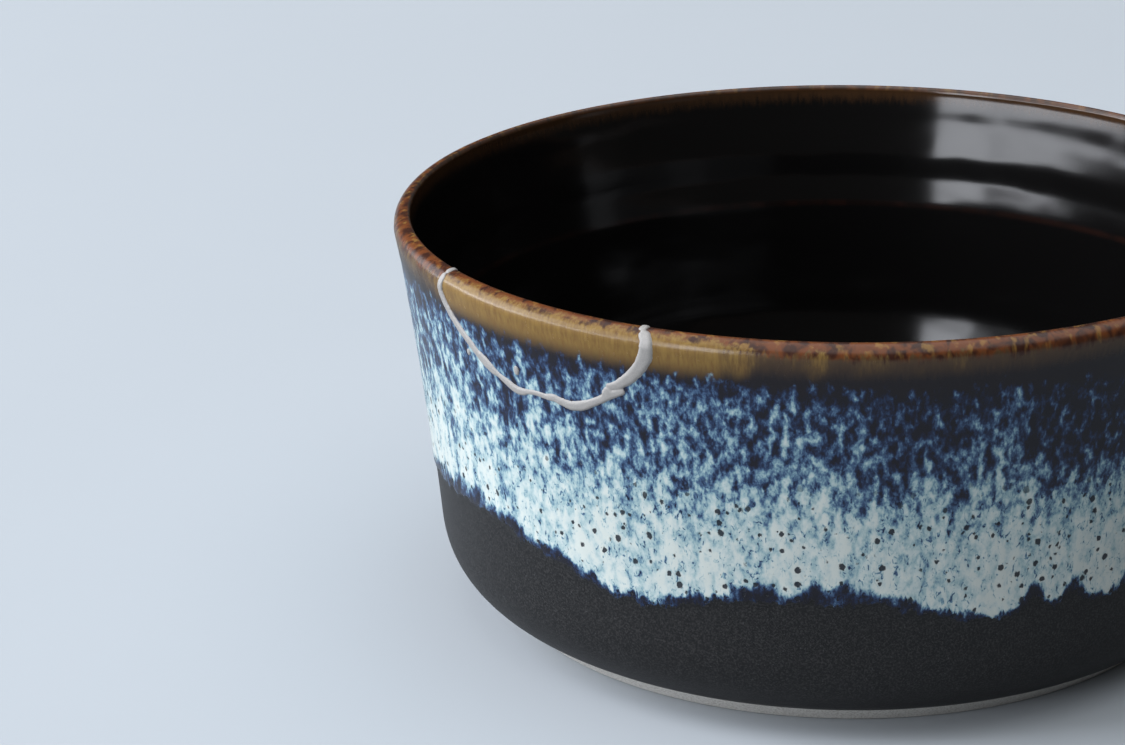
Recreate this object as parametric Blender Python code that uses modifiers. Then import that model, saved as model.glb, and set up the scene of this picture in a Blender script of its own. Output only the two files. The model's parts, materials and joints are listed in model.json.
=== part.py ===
"""A small stoneware bowl whose broken rim fragment is set back with a silver-dusted lacquer seam.

Metres, +Z up. The origin is the centre of the foot's underside, and the mend faces -Y.
"""

import math

import bmesh
import bpy

# Outer shape of the bowl
BOWL_HEIGHT = 0.059
RIM_RADIUS = 0.065
HEEL_HEIGHT = 0.0125
HEEL_RADIUS = 0.0595
FOOT_RADIUS = 0.0497
FOOT_CHAMFER = 0.0025
WALL_HOLLOW = 0.0008
HEEL_TUCK = 0.0008
HEEL_FULLNESS = 0.31

# Walls, floor and foot ring. The ridge is the inner edge that the thrower's fingers left.
LIP_THICKNESS = 0.0024
RIDGE_HEIGHT = 0.0403
RIDGE_THICKNESS = 0.0034
FLARE_SWELL = 0.0003
COVE_TOP_HEIGHT = 0.0302
COVE_TOP_THICKNESS = 0.0036
COVE_WIDTH = 0.0170
FLOOR_THICKNESS = 0.0040
FOOT_RING_WIDTH = 0.0060
FOOT_RECESS_DEPTH = 0.0022
RECESS_SLOPE_WIDTH = 0.0018

# The break line on the outer wall, seen from -Y, from its left end at the rim to its
# right end. Each row is x, depth below the rim, and half the width of the silver there.
BREAK_LINE = (
    (-0.0183, 0.0000, 0.00075),
    (-0.0190, 0.0024, 0.00070),
    (-0.0174, 0.0053, 0.00070),
    (-0.0132, 0.0085, 0.00070),
    (-0.0094, 0.0109, 0.00085),
    (-0.0062, 0.0122, 0.00050),
    (-0.0030, 0.0130, 0.00060),
    (0.0010, 0.0126, 0.00040),
    (0.0044, 0.0125, 0.00050),
    (0.0078, 0.0127, 0.00070),
    (0.0112, 0.0114, 0.00060),
    (0.0146, 0.0085, 0.00070),
    (0.0177, 0.0057, 0.00080),
    (0.0194, 0.0028, 0.00090),
    (0.0187, 0.0000, 0.00080),
)
JOINT_GAP = 0.0003
SEAM_PROUD = 0.00035

# How finely the round forms are faceted, and how far a cutter reaches past what it cuts
TURN_STEPS = 96
WALL_STEPS = 6
HEEL_STEPS = 5
LIP_STEPS = 6
FLARE_STEPS = 3
COVE_STEPS = 7
BREAK_STEPS = 3
CUTTER_MARGIN = 0.006
MERGE_DISTANCE = 0.00001
SMOOTH_ANGLE = math.radians(35)

FLOOR_TOP = FOOT_RECESS_DEPTH + FLOOR_THICKNESS


def clear_scene():
    for existing in list(bpy.data.objects):
        bpy.data.objects.remove(existing, do_unlink=True)


def make_collection(name):
    collection = bpy.data.collections.new(name)
    bpy.context.scene.collection.children.link(collection)
    return collection


def make_material(name, color, roughness, metallic):
    material = bpy.data.materials.new(name)
    material.use_nodes = True
    shader = material.node_tree.nodes["Principled BSDF"]
    shader.inputs["Base Color"].default_value = (*color, 1.0)
    shader.inputs["Roughness"].default_value = roughness
    shader.inputs["Metallic"].default_value = metallic
    material.diffuse_color = (*color, 1.0)
    return material


def between(start, end, share):
    return tuple(a + (b - a) * share for a, b in zip(start, end))


def bend(start, handle, end, steps):
    """Points of a quadratic curve from start to end, without the start itself."""
    points = []
    for step in range(1, steps + 1):
        share = step / steps
        points.append(between(between(start, handle, share), between(handle, end, share), share))
    return points


def lip_curve(centre, reach, steps):
    """Points over a half-round lip, from its inner side to its outer side, without the first."""
    points = []
    for step in range(1, steps + 1):
        angle = math.pi * (1 - step / steps)
        points.append((centre[0] + reach * math.cos(angle), centre[1] + reach * math.sin(angle)))
    return points


def outer_wall():
    """Start, handle and end of the wall's outer curve, from the lip down to the heel."""
    lip_edge = (RIM_RADIUS, BOWL_HEIGHT - LIP_THICKNESS / 2)
    heel = (HEEL_RADIUS, HEEL_HEIGHT)
    middle = between(lip_edge, heel, 0.5)
    return lip_edge, (middle[0] - WALL_HOLLOW, middle[1]), heel


def inner_point(height, thickness):
    """The point of the inner wall at this height, this far in from the outer curve."""
    lip_edge, handle, heel = outer_wall()
    share = (height - lip_edge[1]) / (heel[1] - lip_edge[1])
    outer = between(between(lip_edge, handle, share), between(handle, heel, share), share)
    return (outer[0] - thickness, height)


def bowl_profile():
    """The section as (radius, height), from the middle of the floor over the rim to the underside."""
    lip_edge, outer_handle, heel = outer_wall()
    lip_reach = LIP_THICKNESS / 2
    lip_centre = (lip_edge[0] - lip_reach, lip_edge[1])
    inner_lip = (lip_centre[0] - lip_reach, lip_centre[1])

    ridge = inner_point(RIDGE_HEIGHT, RIDGE_THICKNESS)
    cove_top = inner_point(COVE_TOP_HEIGHT, COVE_TOP_THICKNESS)
    wall_slope = (ridge[0] - cove_top[0]) / (ridge[1] - cove_top[1])
    cove_handle = (cove_top[0] - wall_slope * (cove_top[1] - FLOOR_TOP), FLOOR_TOP)
    cove_foot = (cove_handle[0] - COVE_WIDTH, FLOOR_TOP)
    flare_middle = between(ridge, inner_lip, 0.5)
    flare_handle = (flare_middle[0] + FLARE_SWELL, flare_middle[1])

    chamfer_top = (FOOT_RADIUS + FOOT_CHAMFER, FOOT_CHAMFER)
    heel_handle_height = FOOT_CHAMFER + (HEEL_HEIGHT - FOOT_CHAMFER) * HEEL_FULLNESS
    heel_handle = (HEEL_RADIUS - HEEL_TUCK, heel_handle_height)
    ring_inner = FOOT_RADIUS - FOOT_RING_WIDTH

    profile = [(0.0, FLOOR_TOP), cove_foot]
    profile += bend(cove_foot, cove_handle, cove_top, COVE_STEPS)
    profile.append(ridge)
    profile += bend(ridge, flare_handle, inner_lip, FLARE_STEPS)
    profile += lip_curve(lip_centre, lip_reach, LIP_STEPS)
    profile += bend(lip_edge, outer_handle, heel, WALL_STEPS)
    profile += bend(heel, heel_handle, chamfer_top, HEEL_STEPS)
    profile.append((FOOT_RADIUS, 0.0))
    profile.append((ring_inner, 0.0))
    profile.append((ring_inner - RECESS_SLOPE_WIDTH, FOOT_RECESS_DEPTH))
    profile.append((0.0, FOOT_RECESS_DEPTH))
    return profile


def left_of(before, after):
    """The unit vector that points left of the way from one point to another."""
    across = after[0] - before[0]
    up = after[1] - before[1]
    length = math.hypot(across, up)
    return (-up / length, across / length)


def grow(points, distances):
    """Moves each point of an open line to its left by its own distance."""
    moved = []
    last = len(points) - 1
    for index, (point, distance) in enumerate(zip(points, distances)):
        side = left_of(points[max(index - 1, 0)], points[min(index + 1, last)])
        moved.append((point[0] + side[0] * distance, point[1] + side[1] * distance))
    return moved


def turn(name, profile, collection):
    """A closed solid of revolution from a section whose ends lie on the axis."""
    mesh = bpy.data.meshes.new(name)
    corners = [(radius, 0.0, height) for radius, height in profile]
    edges = [(index, index + 1) for index in range(len(corners) - 1)]
    mesh.from_pydata(corners, edges, [])
    turned = bpy.data.objects.new(name, mesh)
    collection.objects.link(turned)
    screw = turned.modifiers.new("turned on the wheel", "SCREW")
    screw.axis = "Z"
    screw.angle = math.tau
    screw.steps = TURN_STEPS
    screw.render_steps = TURN_STEPS
    screw.use_merge_vertices = True
    screw.merge_threshold = MERGE_DISTANCE
    return turned


def curve_through(rows, steps):
    """Rows of a smooth curve through the given rows, which keeps their other columns in step."""
    padded = [rows[0], *rows, rows[-1]]
    smooth = []
    for before, start, end, after in zip(padded, padded[1:], padded[2:], padded[3:]):
        for step in range(steps):
            share = step / steps
            row = []
            for a, b, c, d in zip(before, start, end, after):
                linear = (c - a) * share
                square = (2 * a - 5 * b + 4 * c - d) * share**2
                cube = (3 * b - a - 3 * c + d) * share**3
                row.append(b + (linear + square + cube) / 2)
            smooth.append(tuple(row))
    smooth.append(rows[-1])
    return smooth


def fragment_outline(side, clearance):
    """The rim fragment's outline in x and z, along one edge of the silver.

    Side is 1 for the edge towards the fragment and -1 for the edge towards the bowl, and
    the clearance is how far past that edge the outline runs.
    """
    rows = curve_through(BREAK_LINE, BREAK_STEPS)
    line = [(x, BOWL_HEIGHT - depth) for x, depth, _ in rows]
    edge = grow(line, [side * (half_width + clearance) for _, _, half_width in rows])
    top = BOWL_HEIGHT + CUTTER_MARGIN
    return [(edge[0][0], top), *edge, (edge[-1][0], top)]


def prism(name, outline, collection):
    """A cutter that stands across the front wall, with this outline seen from -Y."""
    curve = bpy.data.curves.new(name, "CURVE")
    curve.dimensions = "2D"
    curve.fill_mode = "BOTH"
    near = -(RIM_RADIUS + CUTTER_MARGIN)
    far = -HEEL_RADIUS / 2
    curve.extrude = (far - near) / 2
    spline = curve.splines.new("POLY")
    spline.points.add(len(outline) - 1)
    for point, (x, z) in zip(spline.points, outline):
        point.co = (x, z, 0.0, 1.0)
    spline.use_cyclic_u = True
    flat = bpy.data.objects.new(name + "_outline", curve)
    flat.location = (0.0, (near + far) / 2, 0.0)
    flat.rotation_euler = (math.pi / 2, 0.0, 0.0)
    collection.objects.link(flat)
    bpy.context.view_layer.update()

    graph = bpy.context.evaluated_depsgraph_get()
    mesh = bpy.data.meshes.new_from_object(flat.evaluated_get(graph))
    weld_caps(mesh)
    cutter = bpy.data.objects.new(name, mesh)
    cutter.matrix_world = flat.matrix_world.copy()
    collection.objects.link(cutter)
    bpy.data.objects.remove(flat, do_unlink=True)
    cutter.hide_render = True
    cutter.display_type = "WIRE"
    return cutter


def weld_caps(mesh):
    edit = bmesh.new()
    edit.from_mesh(mesh)
    bmesh.ops.remove_doubles(edit, verts=edit.verts, dist=MERGE_DISTANCE)
    bmesh.ops.recalc_face_normals(edit, faces=edit.faces)
    edit.to_mesh(mesh)
    edit.free()


def cut(target, operation, cutter):
    boolean = target.modifiers.new(operation.lower() + " " + cutter.name, "BOOLEAN")
    boolean.operation = operation
    boolean.solver = "EXACT"
    boolean.object = cutter


def finish(piece, material):
    piece.data.materials.append(material)
    piece.data.shade_smooth()
    piece.data.set_sharp_from_angle(angle=SMOOTH_ANGLE)


def build_bowl_body(collection, cutters, glaze):
    body = turn("bowl_body", bowl_profile(), collection)
    cut(body, "DIFFERENCE", prism("body_break", fragment_outline(-1, JOINT_GAP), cutters))
    finish(body, glaze)


def build_rim_shard(collection, cutters, glaze):
    shard = turn("rim_shard", bowl_profile(), collection)
    cut(shard, "INTERSECT", prism("shard_break", fragment_outline(1, JOINT_GAP), cutters))
    finish(shard, glaze)


def build_silver_seam(collection, cutters, silver):
    """The seam fills the joint through the wall and stands a little proud of both faces and the lip."""
    section = bowl_profile()
    proud = grow(section[1:-1], [SEAM_PROUD] * (len(section) - 2))
    seam = turn("silver_seam", [section[0], *proud, section[-1]], collection)
    cut(seam, "INTERSECT", prism("seam_outer_edge", fragment_outline(-1, 0.0), cutters))
    cut(seam, "DIFFERENCE", prism("seam_inner_edge", fragment_outline(1, 0.0), cutters))
    finish(seam, silver)


def main():
    clear_scene()
    collection = make_collection("kintsugi bowl")
    cutters = make_collection("cutters")
    glaze = make_material("dark_blue_glaze", (0.10, 0.16, 0.24), 0.25, 0.0)
    silver = make_material("silver_seam", (0.62, 0.63, 0.60), 0.35, 0.9)
    build_bowl_body(collection, cutters, glaze)
    build_rim_shard(collection, cutters, glaze)
    build_silver_seam(collection, cutters, silver)


main()
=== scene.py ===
import json
import math

import bpy
import numpy as np
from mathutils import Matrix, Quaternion, Vector, noise

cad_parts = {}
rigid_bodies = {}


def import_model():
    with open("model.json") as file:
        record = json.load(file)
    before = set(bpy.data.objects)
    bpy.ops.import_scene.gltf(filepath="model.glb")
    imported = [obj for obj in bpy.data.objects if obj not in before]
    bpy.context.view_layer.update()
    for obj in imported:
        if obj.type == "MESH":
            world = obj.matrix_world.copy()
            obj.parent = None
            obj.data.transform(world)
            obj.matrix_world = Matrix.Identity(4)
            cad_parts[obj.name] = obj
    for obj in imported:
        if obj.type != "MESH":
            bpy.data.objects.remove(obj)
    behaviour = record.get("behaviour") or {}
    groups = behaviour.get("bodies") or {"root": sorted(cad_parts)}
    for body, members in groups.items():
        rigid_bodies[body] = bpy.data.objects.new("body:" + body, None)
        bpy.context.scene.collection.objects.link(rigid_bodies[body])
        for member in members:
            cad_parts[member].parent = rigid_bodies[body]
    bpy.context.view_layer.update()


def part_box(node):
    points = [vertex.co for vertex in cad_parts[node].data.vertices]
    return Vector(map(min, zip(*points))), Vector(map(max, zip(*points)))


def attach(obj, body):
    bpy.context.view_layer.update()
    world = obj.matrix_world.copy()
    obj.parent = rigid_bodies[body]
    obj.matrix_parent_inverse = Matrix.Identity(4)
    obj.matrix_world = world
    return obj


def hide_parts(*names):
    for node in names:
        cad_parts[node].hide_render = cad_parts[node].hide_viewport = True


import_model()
print("frame loaded")

mm = 0.001
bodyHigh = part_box("bowl_body")[1]
rimRadius = bodyHigh.x
bowlHeight = bodyHigh.z

# The pot's section, on the same lines as the frame's bowl
pot = {
    "lip": 2.4 * mm,
    "lipRound": 2.0 * mm,       # how broadly the lip rounds over outside, and how tightly inside
    "lipInside": (0.45 * mm, 0.9 * mm),
    "flareFrom": 53.0 * mm,
    "wallHollow": 0.8 * mm,
    "heelHeight": 12.5 * mm,
    "heelRadius": 59.5 * mm,
    "heelTuck": 0.8 * mm,
    "heelFullness": 0.31,
    "footRadius": 49.7 * mm,
    "footChamfer": 2.5 * mm,
    "footRing": 6.0 * mm,
    "recess": 2.2 * mm,
    "recessSlope": 1.8 * mm,
    "floorTop": 6.2 * mm,
    "coveFoot": 9.0 * mm,
    "ridge": 40.3 * mm,
    # how the inner wall leans, height in mm and degrees from upright: a ridge at 40, finger rings over it
    "innerLean": (
        (59.0, 12.0), (56.2, 12.0), (55.1, 10.2), (54.2, 10.2), (53.2, 12.4), (48.6, 12.4), (47.8, 8.0),
        (45.2, 8.0), (44.5, 13.8), (40.6, 13.8), (40.1, 7.3), (26.5, 7.3), (24.0, 11.0), (22.6, 18.4),
        (18.0, 23.0), (14.0, 33.0), (10.5, 50.0), (8.4, 66.0), (7.0, 76.0),
    ),
    "innerRows": 84,
    "glazeEdgeBelow": 27.0 * mm,    # the rows outside stand closer from here down, for the glaze's edge
    "upperRows": 24,
    "lowerRows": 34,
    "turns": 480,                   # segments round the pot
}

# The dipped glaze, by azimuth from the mend in degrees: the height of its lower edge in mm, the width of its
# blue fringe in mm, how much thinner the blue starts, and how golden the rim is
glazeCoat = {
    "around": (
        (-180, 20.5, 1.5, 0.02, 0.35), (-150, 18.6, 0.8, 0.06, 0.60), (-120, 20.0, 2.2, 0.00, 0.25),
        (-90, 18.9, 1.0, -0.02, 0.50), (-60, 20.5, 2.5, 0.02, 0.30), (-40, 22.0, 3.0, -0.04, 0.35),
        (-25, 23.0, 3.5, -0.05, 0.35), (-20, 24.0, 3.5, -0.05, 0.38), (-16.5, 24.4, 3.2, -0.04, 0.5),
        (-15, 24.4, 3.2, -0.04, 1.0), (-10, 23.5, 3.0, -0.02, 1.0), (-5, 22.5, 2.8, 0.0, 1.0),
        (0, 21.5, 2.2, 0.0, 1.0), (5, 20.3, 1.4, 0.0, 1.0), (10, 19.0, 0.8, 0.0, 1.0),
        (14, 18.5, 0.8, 0.0, 1.0), (18, 19.0, 1.2, 0.0, 0.85), (22, 20.0, 1.6, 0.0, 0.8),
        (25, 21.0, 1.5, 0.0, 0.7), (27.5, 21.5, 2.6, 0.0, 0.65), (31, 21.8, 3.0, 0.0, 0.26),
        (33, 21.8, 1.6, 0.0, 0.22), (35, 21.8, 2.6, 0.02, 0.28), (37, 22.0, 3.0, 0.03, 0.50),
        (40, 22.0, 2.8, 0.04, 0.25), (44, 22.0, 2.6, 0.06, 0.25), (48, 21.0, 1.4, 0.12, 0.20),
        (52, 19.8, 0.8, 0.14, 0.20), (56, 19.0, 0.7, 0.10, 0.20), (60, 18.5, 0.7, 0.08, 0.20),
        (62.5, 18.4, 0.9, 0.18, 0.15), (65, 21.2, 2.5, 0.20, 0.15), (68, 18.8, 0.7, 0.20, 0.15),
        (71, 21.0, 2.2, 0.22, 0.15), (73.5, 18.6, 0.7, 0.22, 0.15), (80, 19.5, 1.5, 0.15, 0.20),
        (100, 20.0, 2.6, 0.05, 0.40), (125, 18.6, 0.9, 0.00, 0.30), (150, 20.9, 2.0, 0.04, 0.50),
        (180, 20.5, 1.5, 0.02, 0.35),
    ),
    "thick": 0.20 * mm,     # how far the coat stands over the satin black
    "thinning": 0.9,        # mm over which its lower edge thins out
    "roll": 0.05 * mm,      # the fat edge where it stopped running
    "ripple": 0.03 * mm,
    "rippleScale": 420.0,   # noise scale per metre, for the coat's ripple and its edge
    "waver": 0.05 * mm,     # the hand-made unevenness of the inner wall
    "waverScale": 60.0,
    "clear": 0.002 * mm,    # how far everything stays within the rim's radius
}

# The mend, seen from the front: x, distance below the rim (inside it, negative), half width, all in mm
mend = {
    "lower": (
        (-18.3, 0.4, 0.44), (-18.75, 1.6, 0.58), (-18.95, 3.0, 0.72), (-18.2, 4.6, 0.70), (-16.6, 6.3, 0.68),
        (-14.8, 7.6, 0.66), (-13.0, 8.7, 0.68), (-11.4, 9.8, 0.62), (-10.4, 10.3, 0.78), (-9.2, 10.9, 0.86),
        (-7.9, 11.5, 0.66), (-6.8, 11.9, 0.44), (-5.4, 12.4, 0.54), (-3.8, 12.95, 0.64), (-2.4, 13.1, 0.56),
        (-1.0, 12.8, 0.36), (0.6, 12.6, 0.36), (2.2, 12.65, 0.42), (3.8, 12.5, 0.58), (5.2, 12.75, 0.62),
        (6.8, 12.9, 0.70), (8.4, 12.55, 0.72), (9.9, 11.9, 0.62), (11.4, 11.1, 0.56), (12.9, 10.2, 0.56),
        (14.3, 9.5, 0.54), (15.5, 8.95, 0.42),
    ),
    "upper": (
        (12.75, 8.75, 0.34), (13.6, 8.65, 0.50), (14.8, 8.15, 0.66), (16.2, 7.1, 0.78), (17.6, 5.7, 0.86),
        (18.7, 4.2, 0.94), (19.25, 2.9, 0.96), (19.4, 1.7, 0.90), (19.1, 0.9, 0.74), (18.2, 0.25, 0.56),
    ),
    "inner": (
        (18.2, 0.25, 0.56), (17.7, -0.5, 0.54), (17.7, -1.8, 0.60), (17.9, -3.4, 0.66), (17.1, -5.4, 0.60),
        (15.4, -7.6, 0.62), (13.2, -9.7, 0.60), (10.6, -11.3, 0.56), (7.4, -12.4, 0.60), (3.9, -12.5, 0.52),
        (0.4, -12.7, 0.50), (-3.2, -13.0, 0.58), (-6.6, -12.3, 0.56), (-9.7, -10.9, 0.66),
        (-13.4, -8.5, 0.60), (-16.6, -6.0, 0.56), (-18.0, -3.6, 0.56), (-18.2, -1.8, 0.45),
        (-17.7, -0.7, 0.40), (-18.3, 0.4, 0.44),
    ),
    # where the two strokes meet
    "bridge": ((12.2, 10.6, 0.60), (12.9, 9.7, 0.70), (13.4, 8.9, 0.55)),
    # x, distance below the rim, half width, half height
    "drops": ((-2.9, 10.15, 0.42, 0.70), (-13.6, 10.45, 0.40, 0.50)),
    "proud": 0.25 * mm,
    "sunk": 0.35 * mm,
    "overlap": 0.08,    # mm, how far the silver runs out over the glaze on each side
    "tuck": 0.20,       # mm, how far the pot runs in under the silver
    "ragged": 0.075,    # how uneven the strokes' edges are
    "gap": 0.14,        # mm between the points along a stroke
    "grain": 0.095,     # mm, how finely the strokes are welded together
    # the cutters that break the fragment out reach from inside the wall to outside it
    "cutPoints": 130,
    "cutFrom": 54 * mm,
    "cutTo": 70 * mm,
    "cutDrawnAt": 64 * mm,      # the radius at which their outline is true
}


def between(start, end, share):
    return tuple(a + (b - a) * share for a, b in zip(start, end))


def bend(start, handle, end, steps):
    shares = [number / steps for number in range(1, steps + 1)]
    return [between(between(start, handle, s), between(handle, end, s), s) for s in shares]


def smoothStep(low, high, values):
    share = np.clip((values - low) / (high - low), 0.0, 1.0)
    return share * share * (3 - 2 * share)


def curveThrough(rows, gap):
    # a smooth line through the rows, with points about a gap apart
    rows = [np.array(row, float) for row in rows]
    rows = [2 * rows[0] - rows[1], *rows, 2 * rows[-1] - rows[-2]]
    points = []
    for a, b, c, d in zip(rows, rows[1:], rows[2:], rows[3:]):
        count = max(2, round(float(np.hypot(*(c - b)[:2])) / gap))
        for s in np.arange(count) / count:
            points.append(0.5 * (2 * b + (c - a) * s + (2 * a - 5 * b + 4 * c - d) * s**2
                                 + (3 * b - a - 3 * c + d) * s**3))
    points.append(rows[-2])
    return np.array(points)


def outerCurve():
    lipEdge = (rimRadius, bowlHeight - pot["lip"] / 2)
    heel = (pot["heelRadius"], pot["heelHeight"])
    middle = between(lipEdge, heel, 0.5)
    return lipEdge, (middle[0] - pot["wallHollow"], middle[1]), heel


def outerPoint(height):
    lipEdge, handle, heel = outerCurve()
    share = (height - lipEdge[1]) / (heel[1] - lipEdge[1])
    return between(between(lipEdge, handle, share), between(handle, heel, share), share)


def potSection():
    # from the middle of the floor, up inside, over the lip, down outside and under the foot
    lipRound = pot["lipRound"]
    roundCentre = (rimRadius - lipRound, bowlHeight - lipRound)
    insideReach, insideDrop = pot["lipInside"]
    innerLip = (roundCentre[0] - insideReach, bowlHeight - insideDrop)
    floorTop = pot["floorTop"]
    heights = np.linspace(innerLip[1] / mm, floorTop / mm + 1.2, pot["innerRows"])
    slopes = np.tan(np.radians(np.interp(heights, *np.array(pot["innerLean"][::-1]).T)))
    fall = np.concatenate([[0.0], np.cumsum((slopes[1:] + slopes[:-1]) / 2 * -np.diff(heights))])
    wall = [(innerLip[0] - r * mm, z * mm) for r, z in zip(fall.tolist(), heights.tolist())][::-1]
    coveEdge = wall[0]
    coveFoot = (coveEdge[0] - pot["coveFoot"], floorTop)
    floor = [(coveFoot[0] * share, floorTop) for share in (0.0, 0.33, 0.66, 1.0)]
    cove = bend(coveFoot, (coveEdge[0] - 0.35 * pot["coveFoot"], floorTop), coveEdge, 5)[:-1]

    lip = []
    for turn in np.radians(np.linspace(170, 100, 5)):
        lip.append((roundCentre[0] + insideReach * math.cos(turn), innerLip[1] + insideDrop * math.sin(turn)))
    flare = outerPoint(pot["flareFrom"])
    for turn in np.radians(np.linspace(90, -10, 15)):
        lip.append((roundCentre[0] + lipRound * math.cos(turn), roundCentre[1] + lipRound * math.sin(turn)))
    lip += bend(lip[-1], between(lip[-1], flare, 0.5), flare, 6)
    closerFrom = pot["glazeEdgeBelow"]
    upper = [outerPoint(z) for z in np.linspace(flare[1], closerFrom, pot["upperRows"])[1:]]
    heel = (pot["heelRadius"], pot["heelHeight"])
    lower = [outerPoint(z) for z in np.linspace(closerFrom, heel[1], pot["lowerRows"])[1:]]
    chamferTop = (pot["footRadius"] + pot["footChamfer"], pot["footChamfer"])
    handleHeight = chamferTop[1] + (heel[1] - chamferTop[1]) * pot["heelFullness"]
    belly = bend(heel, (heel[0] - pot["heelTuck"], handleHeight), chamferTop, 12)
    ringInner = pot["footRadius"] - pot["footRing"]
    soft = 0.35 * mm
    foot = [
        (pot["footRadius"] + soft, soft), (pot["footRadius"] - 0.3 * soft, 0.06 * mm),
        (pot["footRadius"] - soft, 0.0), (ringInner + soft, 0.0), (ringInner, 0.15 * mm),
        (ringInner - pot["recessSlope"], pot["recess"] - 0.1 * mm),
        (ringInner - pot["recessSlope"] - soft, pot["recess"]), (0.0, pot["recess"]),
    ]
    return floor + cove + wall + lip + upper + lower + belly + foot


section = np.array(potSection())
crest = int(np.argmax(section[:, 1]))
sectionLengths = np.hypot(*np.diff(section, axis=0).T)
sectionPlaces = np.concatenate([[0.0], np.cumsum(sectionLengths)])
sectionPlaces = (sectionPlaces - sectionPlaces[crest]) / mm      # mm from the crest, inside is negative
ridgeRow = int(np.argmin(np.abs(section[:crest, 1] - pot["ridge"])))
ridgePlace = float(sectionPlaces[ridgeRow])


def placesOf(points):
    # how far each point lies from the rim's crest along the section, in mm
    radius = np.hypot(points[:, 0], points[:, 1])
    height = points[:, 2]
    nearest = np.full(len(points), 1e9)
    places = np.zeros(len(points))
    for index in range(len(section) - 1):
        start, end = section[index], section[index + 1]
        way = end - start
        share = ((radius - start[0]) * way[0] + (height - start[1]) * way[1]) / way.dot(way)
        share = np.clip(share, 0.0, 1.0)
        gap = (radius - start[0] - share * way[0]) ** 2 + (height - start[1] - share * way[1]) ** 2
        closer = gap < nearest
        nearest = np.where(closer, gap, nearest)
        here = sectionPlaces[index] + share * (sectionPlaces[index + 1] - sectionPlaces[index])
        places = np.where(closer, here, places)
    return places


def aroundPot(azimuth, column):
    # a column of the glaze's table at each azimuth
    line = np.array(glazeCoat["around"], float)
    turned = (azimuth + 180.0) % 360.0 - 180.0
    index = np.clip(np.searchsorted(line[:, 0], turned, side="right") - 1, 0, len(line) - 2)
    share = (turned - line[index, 0]) / (line[index + 1, 0] - line[index, 0])
    share = share * share * (3 - 2 * share)
    return line[index, column] + share * (line[index + 1, column] - line[index, column])


def wander(points, scale, seed):
    # smooth noise over the points, about -1 to 1
    shift = Vector((seed * 7.3, seed * 1.9, seed * 4.1))
    return np.array([noise.noise(Vector(p) * scale + shift) for p in points]) * 1.6


def readPoints(piece):
    flat = np.empty(len(piece.data.vertices) * 3, np.float32)
    piece.data.vertices.foreach_get("co", flat)
    return flat.reshape(-1, 3).astype(float)


def writePoints(piece, points):
    piece.data.vertices.foreach_set("co", points.astype(np.float32).ravel())
    piece.data.update()


def paintPlaces(piece):
    # leaves on each point its place below the rim, its height above the glaze's edge in mm, and the
    # table's other columns
    points = readPoints(piece)
    places = placesOf(points)
    azimuth = np.degrees(np.arctan2(points[:, 0], -points[:, 1]))
    wobble = wander(points, glazeCoat["rippleScale"], 3) * 0.5
    above = points[:, 2] / mm - aroundPot(azimuth, 1) + wobble
    above = np.where(places > 0.0, above, 40.0)     # the inside is glazed all over
    values = {"rimPlace": places, "glazeEdge": above}
    for column, name in ((2, "fringe"), (3, "thinBlue"), (4, "gold")):
        values[name] = aroundPot(azimuth, column)
    for name, value in values.items():
        attribute = piece.data.attributes.get(name) or piece.data.attributes.new(name, "FLOAT", "POINT")
        attribute.data.foreach_set("value", value.astype(np.float32))
    return points, places, above


def deselectAll():
    if bpy.context.mode != "OBJECT":
        bpy.ops.object.mode_set(mode="OBJECT")
    for other in bpy.context.view_layer.objects:
        other.select_set(False)


def workOn(piece):
    deselectAll()
    piece.select_set(True)
    bpy.context.view_layer.objects.active = piece


def applyModifiers(piece):
    workOn(piece)
    for modifier in list(piece.modifiers):
        bpy.ops.object.modifier_apply(modifier=modifier.name)


def turnOutwards(piece):
    workOn(piece)
    bpy.ops.object.mode_set(mode="EDIT")
    bpy.ops.mesh.select_all(action="SELECT")
    bpy.ops.mesh.normals_make_consistent(inside=False)
    bpy.ops.object.mode_set(mode="OBJECT")


def drawWire(name, points):
    # a line drawn by extruding one point from place to place
    deselectAll()
    bpy.ops.mesh.primitive_plane_add(size=mm, location=points[0])
    wire = bpy.context.object
    wire.name = name
    wire.data.name = name
    bpy.ops.object.transform_apply(location=True, rotation=True, scale=True)
    bpy.ops.object.mode_set(mode="EDIT")
    bpy.ops.mesh.select_all(action="SELECT")
    bpy.ops.mesh.merge(type="CENTER")
    for before, after in zip(points, points[1:]):
        way = tuple(b - a for a, b in zip(before, after))
        bpy.ops.mesh.extrude_region_move(TRANSFORM_OT_translate={"value": way})
    return wire


def throwPot():
    profile = [(radius, 0.0, height) for radius, height in section.tolist()]
    thrown = drawWire("thrownPot", profile)
    bpy.ops.mesh.select_all(action="SELECT")
    bpy.ops.mesh.spin(steps=pot["turns"], angle=math.tau, center=(0, 0, 0), axis=(0, 0, 1))
    bpy.ops.mesh.select_all(action="SELECT")
    bpy.ops.mesh.remove_doubles(threshold=0.002 * mm)
    turnOutwards(thrown)
    return thrown


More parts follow.
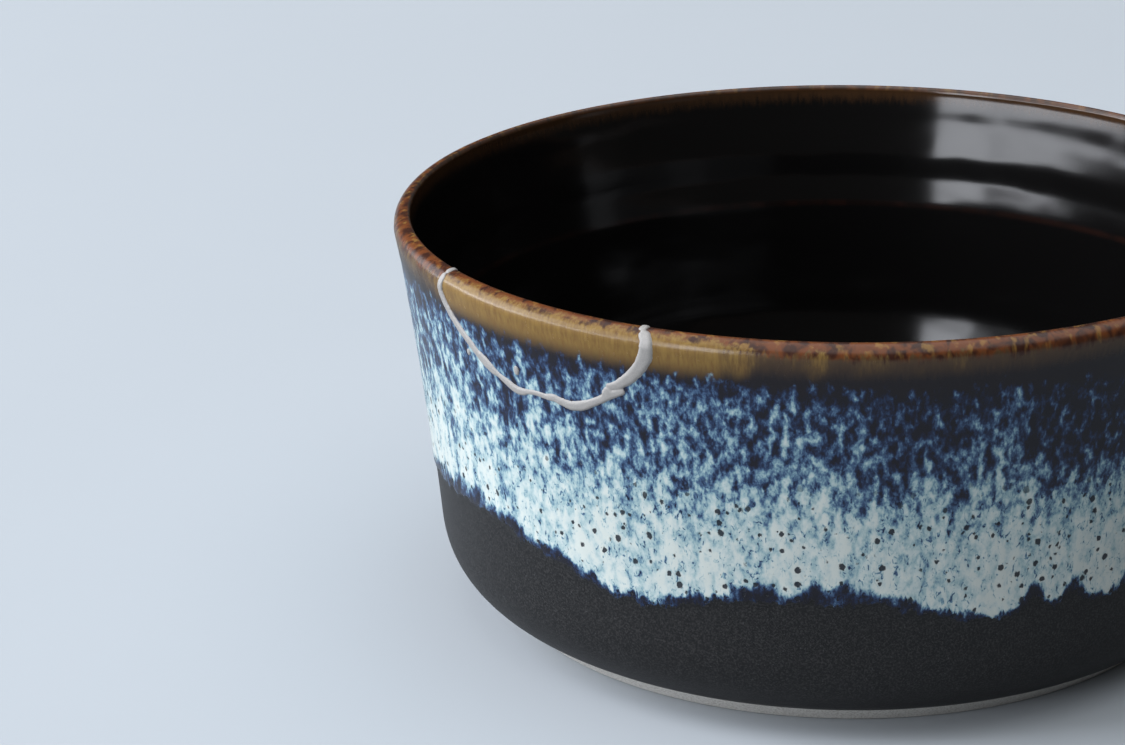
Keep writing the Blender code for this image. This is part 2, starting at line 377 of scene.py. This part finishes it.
def layGlaze(thrown):
    # the dipped coat stands over the satin black, and the wall inside has a hand-made waver
    points, places, above = paintPlaces(thrown)
    radius = np.maximum(np.hypot(points[:, 0], points[:, 1]), 1e-6)
    outward = points[:, :2] / radius[:, None]
    outside = smoothStep(1.5, 4.0, places) * smoothStep(1.2, 3.0, points[:, 2] / mm)
    bare = 1.0 - smoothStep(-glazeCoat["thinning"], 0.35, above)
    roll = np.exp(-(((above - 1.0) / 0.9) ** 2))
    ripple = wander(points * (1, 1, 0.4), glazeCoat["rippleScale"], 1)
    relief = glazeCoat["roll"] * roll + glazeCoat["ripple"] * ripple
    shift = -glazeCoat["thick"] * bare + relief * (1 - bare)
    inside = smoothStep(-2.0, -5.0, places) * smoothStep(8.0, 14.0, points[:, 2] / mm)
    waver = wander(points, glazeCoat["waverScale"], 2) * glazeCoat["waver"]
    move = shift * outside + waver * inside
    reached = np.minimum(radius + move, rimRadius - glazeCoat["clear"])
    points[:, :2] = outward * reached[:, None]
    writePoints(thrown, points)


thrownPot = throwPot()
layGlaze(thrownPot)
print("pot thrown and dipped")


def placeBelow(distance):
    # a distance below the rim, negative inside, as a place along the section
    if distance >= 0:
        drops = (bowlHeight - section[crest:, 1]) / mm
        return float(np.interp(distance, drops, sectionPlaces[crest:]))
    drops = (bowlHeight - section[:crest + 1, 1]) / mm
    return float(np.interp(-distance, drops[::-1], sectionPlaces[:crest + 1][::-1]))


def strokeLine(rows):
    # x, place and half width along a stroke, in mm
    placed = [(x, placeBelow(distance), half) for x, distance, half in rows]
    return curveThrough(placed, mend["gap"])


def onPot(across, places, height):
    # a point of the pot's face on the mend's side, raised by a height
    radius = np.interp(places, sectionPlaces, section[:, 0])
    level = np.interp(places, sectionPlaces, section[:, 1])
    ahead = np.array([np.interp(places + 0.05, sectionPlaces, section[:, axis]) for axis in (0, 1)])
    behind = np.array([np.interp(places - 0.05, sectionPlaces, section[:, axis]) for axis in (0, 1)])
    way = ahead - behind
    way /= np.hypot(*way)
    radius = radius - way[1] * height
    level = level + way[0] * height
    depth = -np.sqrt(np.maximum(radius**2 - (across * mm) ** 2, 0))
    return np.stack([across * mm, depth, level], axis=1)


def layStroke(name, line):
    # a strip of the lacquer: a grid laid along the line, domed across, then given its depth
    steps = len(line) - 1
    deselectAll()
    bpy.ops.mesh.primitive_grid_add(x_subdivisions=steps, y_subdivisions=12, size=2)
    stroke = bpy.context.object
    stroke.name = name
    flat = readPoints(stroke)
    along = np.clip(np.rint((flat[:, 0] + 1) / 2 * steps).astype(int), 0, steps)
    side = flat[:, 1]
    way = np.gradient(line[:, :2], axis=0)
    way /= np.hypot(way[:, 0], way[:, 1])[:, None]
    length = np.concatenate([[0.0], np.cumsum(np.hypot(*np.diff(line[:, :2], axis=0).T))])
    half = line[:, 2].copy()
    for fromEnd in (length, length[-1] - length):
        reach = np.clip(fromEnd / half, 0.0, 1.0)
        half = half * np.sqrt(np.clip(1.0 - (1.0 - reach) ** 2, 0.01, 1.0))
    spots = np.stack([line[along, 0], line[along, 1], np.sign(side) * 3.0], axis=1)
    uneven = 1.0 + mend["ragged"] * (wander(spots, 1.1, 5) + 0.7 * wander(spots, 3.1, 6))
    offset = side * (half[along] + mend["overlap"]) * uneven
    across = line[along, 0] + way[along, 1] * offset
    places = line[along, 1] - way[along, 0] * offset
    dome = np.clip(1.0 - np.abs(side) ** 4.0, 0.0, 1.0)
    body = np.clip(half[along] / 0.62, 0.35, 1.0)
    swell = 0.94 + 0.06 * wander(np.stack([across, places, across * 0], axis=1), 1.6, 7)
    height = mend["proud"] * dome * body * swell - 0.10 * mm * (1 - dome)
    writePoints(stroke, onPot(across, places, height))
    solid = stroke.modifiers.new("depth", "SOLIDIFY")
    solid.thickness = mend["sunk"]
    solid.offset = -1.0
    turnOutwards(stroke)
    applyModifiers(stroke)
    return stroke


def joinStrokes(strokes):
    workOn(strokes[0])
    for stroke in strokes[1:]:
        stroke.select_set(True)
    bpy.ops.object.join()
    seam = bpy.context.object
    seam.name = "silverSeam"
    seam.data.name = "silverSeam"
    weld = seam.modifiers.new("weld", "REMESH")
    weld.mode = "VOXEL"
    weld.voxel_size = mend["grain"] * mm
    weld.use_smooth_shade = True
    settle = seam.modifiers.new("settle", "SMOOTH")
    settle.factor = 0.5
    settle.iterations = 3
    applyModifiers(seam)
    return seam


def layMend():
    strokes = [layStroke(name, strokeLine(mend[name])) for name in ("lower", "upper", "inner", "bridge")]
    for number, (x, distance, wide, tall) in enumerate(mend["drops"]):
        place = placeBelow(distance)
        reach = max(tall - wide, 0.02) + wide
        rows = [(x, place - reach, wide), (x + 0.05, place, wide * 1.05), (x, place + reach, wide * 0.9)]
        strokes.append(layStroke(f"drop{number}", curveThrough(rows, 0.06)))
    return joinStrokes(strokes)


def breakOutline(side, inside, count):
    # the broken edge on the wall's outer or inner face, moved to one side of the mend
    if inside:
        rows = [(x, -distance, half) for x, distance, half in reversed(mend["inner"])]
    else:
        rows = [*mend["lower"][:-3], *mend["bridge"][1:2], *mend["upper"][2:]]
    fine = curveThrough(rows, 0.2)
    fine[:, 1] = np.maximum(fine[:, 1], 0.0)
    run = np.concatenate([[0.0], np.cumsum(np.hypot(*np.diff(fine[:, :2], axis=0).T))])
    at = np.linspace(0, run[-1], count)
    line = np.stack([np.interp(at, run, fine[:, axis]) for axis in range(3)], axis=1)
    way = np.gradient(line[:, :2], axis=0)
    way /= np.hypot(way[:, 0], way[:, 1])[:, None]
    reach = np.maximum(line[:, 2] - mend["tuck"], 0.12) * side
    edge = np.stack([line[:, 0] - way[:, 1] * reach, line[:, 1] + way[:, 0] * reach], axis=1)
    above = -8.0        # the outline closes this far over the rim
    return np.concatenate([[[edge[0, 0], above]], edge, [[edge[-1, 0], above]]])


def makeCutter(name, side):
    # a block through the wall with the broken edge's outline. it is drawn straight, then its faces are
    # moved outside and inside the wall, so that it slants as the break does.
    outer, inner = (breakOutline(side, inside, mend["cutPoints"]) for inside in (False, True))
    front, back = -80 * mm, -50 * mm
    outline = [(x * mm, front, bowlHeight - below * mm) for x, below in outer]
    cutter = drawWire(name, outline)
    bpy.ops.mesh.select_all(action="SELECT")
    bpy.ops.mesh.edge_face_add()
    bpy.ops.mesh.extrude_region_move(TRANSFORM_OT_translate={"value": (0, back - front, 0)})
    bpy.ops.mesh.select_all(action="SELECT")
    bpy.ops.mesh.quads_convert_to_tris()
    bpy.ops.object.mode_set(mode="OBJECT")
    points = readPoints(cutter)
    drawn = np.array(outline)
    moved = points.copy()
    for index, point in enumerate(points):
        nearest = int(np.argmin((drawn[:, 0] - point[0]) ** 2 + (drawn[:, 2] - point[2]) ** 2))
        outermost = point[1] < (front + back) / 2
        radius = mend["cutTo"] if outermost else mend["cutFrom"]
        x, below = (outer if outermost else inner)[nearest]
        x = x * mm * radius / mend["cutDrawnAt"]
        moved[index] = (x, -math.sqrt(radius**2 - x**2), bowlHeight - below * mm)
    writePoints(cutter, moved)
    turnOutwards(cutter)
    return cutter


def cutWith(piece, cutter, operation):
    boolean = piece.modifiers.new("break", "BOOLEAN")
    boolean.operation = operation
    boolean.solver = "EXACT"
    boolean.object = cutter
    applyModifiers(piece)
    bpy.data.objects.remove(cutter)


def copyOf(piece, name):
    copy = piece.copy()
    copy.data = piece.data.copy()
    copy.name = name
    copy.data.name = name
    bpy.context.scene.collection.objects.link(copy)
    return copy


silverSeam = layMend()
print("silver laid,", len(silverSeam.data.polygons), "faces")
rimFragment = copyOf(thrownPot, "rimFragment")
bowlBody = thrownPot
bowlBody.name = "glazedBowl"
bowlBody.data.name = "glazedBowl"
cutWith(bowlBody, makeCutter("bodyCutter", 1), "DIFFERENCE")
cutWith(rimFragment, makeCutter("fragmentCutter", -1), "INTERSECT")
for piece in (bowlBody, rimFragment):
    paintPlaces(piece)
    workOn(piece)
    bpy.ops.object.shade_smooth_by_angle(angle=math.radians(40))
print("fragment broken out,", len(rimFragment.data.polygons), "faces")


def build(tree, kind, inputs=None, **settings):
    made = tree.nodes.new("ShaderNode" + kind)
    for name, value in settings.items():
        setattr(made, name, value)
    for name, value in (inputs or {}).items():
        socket = made.inputs[name]
        if isinstance(value, bpy.types.NodeSocket):
            tree.links.new(value, socket)
        else:
            socket.default_value = value
    return made


def calc(tree, operation, first, second=0.0, third=0.0):
    made = build(tree, "Math", {0: first, 1: second, 2: third}, operation=operation)
    return made.outputs[0]


def step(tree, value, low, high, lowOut=0.0, highOut=1.0):
    # goes smoothly from lowOut to highOut as the value passes from low to high
    made = build(tree, "MapRange", {0: value, 1: low, 2: high, 3: lowOut, 4: highOut},
                 interpolation_type="SMOOTHSTEP")
    return made.outputs[0]


def blendColor(tree, factor, first, second, kind="MIX"):
    made = build(tree, "Mix", {0: factor, 6: first, 7: second}, data_type="RGBA", blend_type=kind)
    return made.outputs[2]


def blendValue(tree, factor, first, second):
    made = build(tree, "Mix", {0: factor, 2: first, 3: second}, data_type="FLOAT")
    return made.outputs[0]


def ramp(tree, value, stops):
    made = build(tree, "ValToRGB", {0: value})
    band = made.color_ramp
    while len(band.elements) < len(stops):
        band.elements.new(1.0)
    for element, (position, color) in zip(band.elements, stops):
        element.position = position
        element.color = (*color, 1.0)
    return made.outputs[0]


def cloud(tree, vector, scale, detail=2.0, roughness=0.5, distortion=0.0):
    made = build(tree, "TexNoise", {"Vector": vector, "Scale": scale, "Detail": detail,
                                    "Roughness": roughness, "Distortion": distortion})
    return made.outputs[0]


def newMaterial(name):
    material = bpy.data.materials.new(name)
    material.use_nodes = True
    tree = material.node_tree
    shader = tree.nodes["Principled BSDF"]
    place = build(tree, "TexCoord").outputs["Object"]
    inMm = build(tree, "VectorMath", {0: place, "Scale": 1000.0}, operation="SCALE").outputs[0]
    return material, tree, shader, inMm


def stretched(tree, vector, scale, shift=(0, 0, 0)):
    made = build(tree, "Mapping", {"Vector": vector, "Scale": scale, "Location": shift})
    return made.outputs[0]


def about(tree, field, reach, value):
    # value moved by up to half the reach each way
    return calc(tree, "MULTIPLY_ADD", calc(tree, "SUBTRACT", field, 0.5), reach, value)


def emboss(tree, height, shader, strength=1.0):
    # heights in mm
    bump = build(tree, "Bump", {"Height": height, "Distance": mm, "Strength": strength})
    tree.links.new(bump.outputs[0], shader.inputs["Normal"])


glaze = {
    "flecks": 0.82,         # noise scale per mm
    "fleckLength": 0.58,    # the smaller, the longer the flecks
    "tongues": 0.30,        # noise scale per mm of the long tongues between blue and cream
    "pitCells": 1.20,       # mm, the cells in which a pinhole may fall
    "pitSize": 0.40,        # the largest pinhole's radius in those cells
    "amber": (0.225, 0.138, 0.036, 1.0),
    "amberDeep": (0.150, 0.080, 0.022, 1.0),
    "amberLean": (0.064, 0.038, 0.020, 1.0),
    "gold": (0.27, 0.145, 0.035, 1.0),
    "rust": (0.128, 0.038, 0.011, 1.0),
    "darkBrown": (0.036, 0.012, 0.007, 1.0),
    "plum": (0.010, 0.008, 0.011, 1.0),
    "pit": (0.008, 0.010, 0.018, 1.0),
    "black": (0.0035, 0.0035, 0.004, 1.0),
    "satin": (0.030, 0.029, 0.029, 1.0),
    "speck": (0.10, 0.10, 0.105, 1.0),
    # the grey of the worn thin crest, partly clay showing through and partly a painted highlight
    "worn": (0.075, 0.06, 0.05, 1.0),
    "inside": (0.0035, 0.0033, 0.0033, 1.0),
    "insideLip": (0.040, 0.019, 0.008, 1.0),
    "insideRidge": (0.030, 0.010, 0.006, 1.0),
    "satinGrain": 3.6,      # noise scale per mm
    "satinRough": 0.42,
    "insideRough": 0.125,
    # milkiness, from 0 plum and navy to 1 cream, by distance from the crest down the wall in mm
    "milk": (
        (0.0, 0.05), (7.0, 0.12), (9.5, 0.32), (12.0, 0.36), (16.0, 0.38), (20.0, 0.48), (24.0, 0.61),
        (28.0, 0.73), (32.0, 0.86), (42.0, 0.93),
    ),
    "blues": (
        (0.0, (0.008, 0.008, 0.014)), (0.14, (0.009, 0.012, 0.030)), (0.28, (0.016, 0.032, 0.080)),
        (0.42, (0.055, 0.110, 0.205)), (0.56, (0.165, 0.285, 0.355)), (0.70, (0.335, 0.465, 0.480)),
        (0.84, (0.480, 0.565, 0.560)), (1.0, (0.575, 0.625, 0.590)),
    ),
}


def readMark(tree, name):
    return build(tree, "Attribute", attribute_name=name).outputs["Fac"]


def curveOf(tree, value, rows):
    # a curve through rows of value and result
    reach = rows[-1][0]
    made = build(tree, "FloatCurve", {"Factor": 1.0, "Value": calc(tree, "DIVIDE", value, reach)})
    curve = made.mapping.curves[0]
    for number, (at, result) in enumerate(rows):
        if number < 2:
            curve.points[number].location = (at / reach, result)
        else:
            curve.points.new(at / reach, result)
    for point in curve.points:
        point.handle_type = "VECTOR"
    made.mapping.update()
    return made.outputs[0]


def glazeFields(tree, inMm):
    # the noises that more than one part of the glaze follows
    columns = stretched(tree, inMm, (1, 1, 0.12), (13, 5, 2))
    long = stretched(tree, inMm, (1, 1, glaze["fleckLength"]))
    return {
        "flecks": cloud(tree, long, glaze["flecks"], 3.0, 0.56, 0.15),
        "tongues": cloud(tree, stretched(tree, inMm, (1, 1, 0.28), (3, 31, 7)), glaze["tongues"], 2.0, 0.5),
        "grain": cloud(tree, stretched(tree, inMm, (1, 1, 0.75), (9, 2, 40)), 2.6, 3.0, 0.65),
        "hairs": cloud(tree, stretched(tree, inMm, (1, 1, 0.45), (22, 8, 1)), 1.0, 3.0, 0.65, 0.3),
        "runs": cloud(tree, columns, 2.2, 3.0, 0.6),
        "streaks": cloud(tree, columns, 0.75, 2.0, 0.5),
    }


def milkiness(tree, inMm, marks, fields, edge):
    # how milky the glaze is, from plum and navy at the top to cream at the foot
    rimPlace = marks["rimPlace"]
    base = curveOf(tree, rimPlace, glaze["milk"])
    thinner = calc(tree, "MULTIPLY", marks["thinBlue"], step(tree, rimPlace, 17.0, 27.0, 1.3, 0.15))
    base = calc(tree, "SUBTRACT", base, thinner)
    milk = about(tree, fields["flecks"], step(tree, rimPlace, 20.0, 34.0, 1.95, 1.3), base)
    milk = about(tree, fields["tongues"], step(tree, rimPlace, 14.0, 22.0, 0.45, 0.95), milk)
    milk = about(tree, fields["grain"], 0.45, milk)
    veins = cloud(tree, stretched(tree, inMm, (1, 1, 0.55), (70, 12, 9)), 1.5, 2.0, 0.6, 1.2)
    lowDown = step(tree, rimPlace, 16.0, 30.0)
    milk = calc(tree, "MULTIPLY_ADD", step(tree, veins, 0.56, 0.72, 0.0, -0.42), lowDown, milk)
    # a ragged navy fringe where the coat thins out at its lower edge
    breadth = calc(tree, "MULTIPLY_ADD", marks["fringe"], 0.6, 0.6)
    fringe = calc(tree, "DIVIDE", about(tree, fields["tongues"], 2.6, edge), breadth)
    return calc(tree, "MULTIPLY_ADD", step(tree, fringe, 0.25, 1.35, 1.0, 0.0), -0.72, milk)


def ironRim(tree, inMm, marks, fields):
    # rust mottling on the crest, then amber with fine runs, then plum
    runs = fields["runs"]
    mottle = cloud(tree, stretched(tree, inMm, (1, 1, 0.8), (1, 1, 50)), 0.55, 2.0, 0.5, 0.4)
    amber = blendColor(tree, step(tree, runs, 0.22, 0.78), glaze["amberDeep"], glaze["amber"])
    rust = blendColor(tree, step(tree, mottle, 0.38, 0.60), glaze["darkBrown"], glaze["rust"])
    rust = blendColor(tree, step(tree, fields["streaks"], 0.54, 0.72, 0.0, 0.60), rust, glaze["gold"])
    goldHere = about(tree, runs, 0.5, about(tree, fields["tongues"], 0.9, marks["gold"]))
    shifted = about(tree, runs, 1.6, marks["rimPlace"])
    rustEnd = step(tree, goldHere, 0.1, 0.8, 2.9, 1.35)
    pastRust = calc(tree, "SUBTRACT", about(tree, mottle, 2.6, shifted), rustEnd)
    under = blendColor(tree, step(tree, goldHere, 0.2, 0.75), glaze["amberLean"], amber)
    rim = blendColor(tree, step(tree, pastRust, -0.6, 0.6, 1.0, 0.0), under, rust)
    pastAmber = calc(tree, "SUBTRACT", shifted, step(tree, goldHere, 0.2, 0.9, 4.7, 6.0))
    return blendColor(tree, step(tree, pastAmber, -1.7, 1.5), rim, glaze["plum"])


def pinholes(tree, inMm, marks, fields):
    # uneven holes where the glaze is milky, 1 in a hole and 0 beside it
    pits = build(tree, "TexVoronoi", {"Vector": stretched(tree, inMm, (1, 1, 0.85)),
                                      "Scale": 1.0 / glaze["pitCells"], "Randomness": 1.0}, feature="F1")
    chance = build(tree, "SeparateColor", {0: pits.outputs["Color"]}).outputs[0]
    size = calc(tree, "MULTIPLY", calc(tree, "POWER", chance, 2.1), glaze["pitSize"])
    beside = calc(tree, "SUBTRACT", about(tree, fields["grain"], 0.5, pits.outputs["Distance"]), size)
    hole = step(tree, beside, -0.07, 0.03, 1.0, 0.0)
    return calc(tree, "MULTIPLY", hole, step(tree, marks["rimPlace"], 19.0, 26.0))


def satinBlack(tree, inMm, grain):
    # the body below the coat, with a few pale specks
    specks = build(tree, "TexVoronoi", {"Vector": inMm, "Scale": 0.8, "Randomness": 1.0}, feature="F1")
    speck = step(tree, specks.outputs["Distance"], 0.05, 0.12, 0.30, 0.0)
    color = blendColor(tree, step(tree, grain, 0.42, 0.68), glaze["black"], glaze["satin"])
    return blendColor(tree, speck, color, glaze["speck"])


def insideBlack(tree, marks, fields):
    # black, with brown just under the lip and along the ridge
    rimPlace = marks["rimPlace"]
    brown = step(tree, about(tree, fields["runs"], 2.4, rimPlace), -3.4, -0.8)
    fromRidge = calc(tree, "ABSOLUTE", calc(tree, "SUBTRACT", rimPlace, ridgePlace))
    ridge = step(tree, fromRidge, 0.1, 0.8, 0.3, 0.0)
    ridge = calc(tree, "MULTIPLY", ridge, step(tree, fields["tongues"], 0.40, 0.62, 0.35, 1.0))
    color = blendColor(tree, brown, glaze["inside"], glaze["insideLip"])
    return blendColor(tree, ridge, color, glaze["insideRidge"])


def glazeMaterial():
    material, tree, shader, inMm = newMaterial("streaked_glaze")
    marks = {name: readMark(tree, name) for name in ("rimPlace", "glazeEdge", "fringe", "thinBlue", "gold")}
    fields = glazeFields(tree, inMm)
    rimPlace = marks["rimPlace"]
    edge = about(tree, fields["hairs"], 3.0, marks["glazeEdge"])
    milk = milkiness(tree, inMm, marks, fields, edge)
    pit = pinholes(tree, inMm, marks, fields)
    satinGrain = cloud(tree, inMm, glaze["satinGrain"], 3.0, 0.7)
    coated = step(tree, edge, -0.20, 0.14)
    within = step(tree, rimPlace, -0.9, -0.3, 1.0, 0.0)

    # the rim gives way to the blues in ragged flecks, and the crest is worn thin: its grey line is partly
    # wear and partly a painted highlight
    underRim = about(tree, fields["flecks"], 6.0, rimPlace)
    underRim = calc(tree, "MULTIPLY_ADD", marks["thinBlue"], -6.0, underRim)
    rim = ironRim(tree, inMm, marks, fields)
    color = blendColor(tree, step(tree, underRim, 6.3, 7.9), rim, ramp(tree, milk, glaze["blues"]))
    color = blendColor(tree, calc(tree, "MULTIPLY", pit, 0.95), color, glaze["pit"])
    color = blendColor(tree, coated, satinBlack(tree, inMm, satinGrain), color)
    # a grey line along the crest: worn thin glaze, and in part a painted highlight
    fromCrestWearAndSheen = calc(tree, "ABSOLUTE", calc(tree, "ADD", rimPlace, 0.35))
    color = blendColor(tree, step(tree, fromCrestWearAndSheen, 0.10, 0.45, 0.6, 0.0), color, glaze["worn"])
    color = blendColor(tree, within, color, insideBlack(tree, marks, fields))
    tree.links.new(color, shader.inputs["Base Color"])

    rough = step(tree, milk, 0.25, 0.85, 0.20, 0.32)
    rough = calc(tree, "MULTIPLY_ADD", pit, 0.2, rough)
    rough = calc(tree, "MULTIPLY_ADD", step(tree, rimPlace, 4.0, 8.0, 1.0, 0.0), 0.06, rough)
    rough = blendValue(tree, coated, glaze["satinRough"], rough)
    rough = blendValue(tree, within, rough, glaze["insideRough"])
    tree.links.new(rough, shader.inputs["Roughness"])
    shader.inputs["IOR"].default_value = 1.45

    height = calc(tree, "MULTIPLY", fields["flecks"], 0.035)
    height = calc(tree, "MULTIPLY_ADD", pit, -0.14, height)
    height = calc(tree, "MULTIPLY_ADD", fields["runs"], 0.010, height)
    height = blendValue(tree, coated, calc(tree, "MULTIPLY", satinGrain, 0.03), height)
    waves = cloud(tree, stretched(tree, inMm, (1, 1, 1.6)), 0.10, 1.0, 0.5)
    height = blendValue(tree, within, height, calc(tree, "MULTIPLY", waves, 0.10))
    emboss(tree, height, shader)
    return material


clay = {
    "color": (0.80, 0.78, 0.73, 1.0),
    "dark": (0.60, 0.57, 0.52, 1.0),
    "speck": (0.22, 0.18, 0.15, 1.0),
    "rough": 0.86,
    "upTo": 2.3 * mm,       # the foot is bare below this height, within the width
    "within": 55 * mm,
}


def clayMaterial():
    material, tree, shader, inMm = newMaterial("bare_clay")
    grog = cloud(tree, inMm, 3.4, 3.0, 0.6)
    fine = cloud(tree, inMm, 7.0, 3.0, 0.6)
    color = blendColor(tree, step(tree, grog, 0.42, 0.66), clay["color"], clay["dark"])
    color = blendColor(tree, step(tree, fine, 0.62, 0.76, 0.0, 0.4), color, clay["speck"])
    tree.links.new(color, shader.inputs["Base Color"])
    shader.inputs["Roughness"].default_value = clay["rough"]
    height = calc(tree, "MULTIPLY_ADD", fine, 0.05, calc(tree, "MULTIPLY", grog, 0.08))
    emboss(tree, height, shader, 0.8)
    return material


silver = {
    "color": (0.405, 0.39, 0.37, 1.0),
    "dull": (0.335, 0.323, 0.31, 1.0),
    "rough": 0.62,
    "metal": 0.30,
}


def silverMaterial():
    material, tree, shader, inMm = newMaterial("silver_lacquer")
    powder = cloud(tree, inMm, 7.5, 3.0, 0.65)
    worn = cloud(tree, inMm, 0.8, 2.0, 0.5)
    color = blendColor(tree, step(tree, powder, 0.38, 0.66), silver["dull"], silver["color"])
    color = blendColor(tree, step(tree, worn, 0.50, 0.72, 0.0, 0.5), color, silver["dull"])
    tree.links.new(color, shader.inputs["Base Color"])
    shader.inputs["Metallic"].default_value = silver["metal"]
    rough = calc(tree, "MULTIPLY_ADD", calc(tree, "SUBTRACT", powder, 0.5), 0.25, silver["rough"])
    tree.links.new(rough, shader.inputs["Roughness"])
    emboss(tree, calc(tree, "MULTIPLY", powder, 0.03), shader, 0.5)
    return material


def dressPieces():
    glazeFinish = glazeMaterial()
    silverSeam.data.materials.clear()
    silverSeam.data.materials.append(silverMaterial())
    for piece in (bowlBody, rimFragment):
        piece.data.materials.clear()
        piece.data.materials.append(glazeFinish)
    bowlBody.data.materials.append(clayMaterial())
    for face in bowlBody.data.polygons:
        if face.center.z < clay["upTo"] and math.hypot(face.center.x, face.center.y) < clay["within"]:
            face.material_index = 1


dressPieces()
slots = (
    (bowlBody, "bowl_body", "streaked_glaze"),
    (rimFragment, "rim_shard", "streaked_glaze"),
    (silverSeam, "silver_seam", "silver_lacquer"),
)
for piece, node, slotName in slots:
    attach(piece, "root")
    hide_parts(node)
print("finishes made")

studio = {
    "floorSize": 8.0,
    "floorColor": (0.425, 0.458, 0.488, 1.0),
    "floorTint": (0.445, 0.475, 0.505, 1.0),
    "floorBounce": 0.58,    # how much of its paleness the floor throws back on the bowl
    "behind": (0.63, 0.72, 0.80, 1.0),       # what the camera sees past the floor
    "paleSky": (1.26, 1.30, 1.33, 1.0),
    "darkSide": (0.05, 0.048, 0.046, 1.0),
    "skyFrom": 0.60,        # sine of the elevation where the room turns from dark to pale
    "skyFull": 0.86,
    "lightColor": (0.95, 0.98, 1.05),
    "distance": 2.0,        # metres from the bowl to the panels
    "eyeHeight": 0.055,     # elevations are measured from here
    # azimuth from and to, elevation from and to in degrees, brightness, and whether it shows in the gloss
    "panels": {
        "windowTall": (13.0, -2.0, 4.3, 28.0, 7.8, True),
        "windowLow": (-2.0, -75.0, 4.3, 11.0, 7.8, True),
        "windowVeil": (-2.0, -60.0, 11.0, 36.0, 2.0, True),
        "backdrop": (-40.0, -95.0, 1.0, 36.0, 2.0, True),
        "softFill": (-22.0, -67.0, 25.0, 58.0, 7.9, False),
    },
}


def standFloor():
    deselectAll()
    bpy.ops.mesh.primitive_plane_add(size=studio["floorSize"], location=(0, 0, 0))
    floor = bpy.context.object
    floor.name = "studioFloor"
    material, tree, shader, inMm = newMaterial("floor_paper")
    tint = cloud(tree, inMm, 0.02, 2.0, 0.5)
    color = blendColor(tree, step(tree, tint, 0.3, 0.7, 0.0, 0.12), studio["floorColor"], studio["floorTint"])
    seen = build(tree, "LightPath").outputs["Is Camera Ray"]
    bounce = studio["floorBounce"]
    dimmed = blendColor(tree, 1.0, color, (bounce, bounce, bounce, 1.0), "MULTIPLY")
    color = blendColor(tree, seen, dimmed, color)
    tree.links.new(color, shader.inputs["Base Color"])
    shader.inputs["Roughness"].default_value = 0.9
    shader.inputs["Specular IOR Level"].default_value = 0.2
    floor.data.materials.append(material)


def hangPanel(name, azFrom, azTo, low, high, brightness, inGloss):
    # an upright panel of light that fills those azimuths and elevations
    distance = studio["distance"]
    middle = math.radians((azFrom + azTo) / 2)
    bottom, top = (distance * math.tan(math.radians(angle)) + studio["eyeHeight"] for angle in (low, high))
    light = bpy.data.lights.new(name, "AREA")
    light.shape = "RECTANGLE"
    light.size = 2 * distance * math.tan(math.radians(abs(azFrom - azTo) / 2))
    light.size_y = top - bottom
    light.energy = brightness * math.pi * light.size * light.size_y
    light.color = studio["lightColor"]
    lamp = bpy.data.objects.new(name, light)
    lamp.location = (math.sin(middle) * distance, -math.cos(middle) * distance, (bottom + top) / 2)
    lamp.rotation_euler = (math.radians(90), 0, middle)
    lamp.visible_glossy = inGloss
    bpy.context.scene.collection.objects.link(lamp)


def lightRoom():
    # pale overhead and dark low down for the bowl, and pale all round for the camera
    world = bpy.data.worlds.new("studioRoom")
    bpy.context.scene.world = world
    world.use_nodes = True
    tree = world.node_tree
    background = tree.nodes["Background"]
    way = build(tree, "TexCoord").outputs["Generated"]
    axes = build(tree, "SeparateXYZ", {0: way})
    high = step(tree, axes.outputs[2], studio["skyFrom"], studio["skyFull"])
    seen = blendColor(tree, high, studio["darkSide"], studio["paleSky"])
    cameraRay = build(tree, "LightPath").outputs["Is Camera Ray"]
    seen = blendColor(tree, cameraRay, seen, studio["behind"])
    tree.links.new(seen, background.inputs["Color"])
    background.inputs["Strength"].default_value = 1.0


shot = {
    "place": (0.2856, -0.34035, 0.19313),
    "tilt": 19.90,      # degrees down
    "turn": 45.31,      # degrees, from +Y towards -X
    "roll": -1.094,
    "lens": 102.4,
    "sensor": 36.0,
}


def setCamera():
    tilt, turn = math.radians(shot["tilt"]), math.radians(shot["turn"])
    ahead = Vector((-math.sin(turn) * math.cos(tilt), math.cos(turn) * math.cos(tilt), -math.sin(tilt)))
    data = bpy.data.cameras.new("photoCamera")
    data.lens = shot["lens"]
    data.sensor_width = shot["sensor"]
    data.clip_start = 0.01
    camera = bpy.data.objects.new("photoCamera", data)
    camera.location = shot["place"]
    aim = ahead.to_track_quat("-Z", "Y") @ Quaternion((0, 0, 1), math.radians(shot["roll"]))
    camera.rotation_euler = aim.to_euler()
    bpy.context.scene.collection.objects.link(camera)
    bpy.context.scene.camera = camera


standFloor()
for name, panel in studio["panels"].items():
    hangPanel(name, *panel)
lightRoom()
setCamera()
bpy.context.scene.view_settings.view_transform = "Standard"
print("studio set")
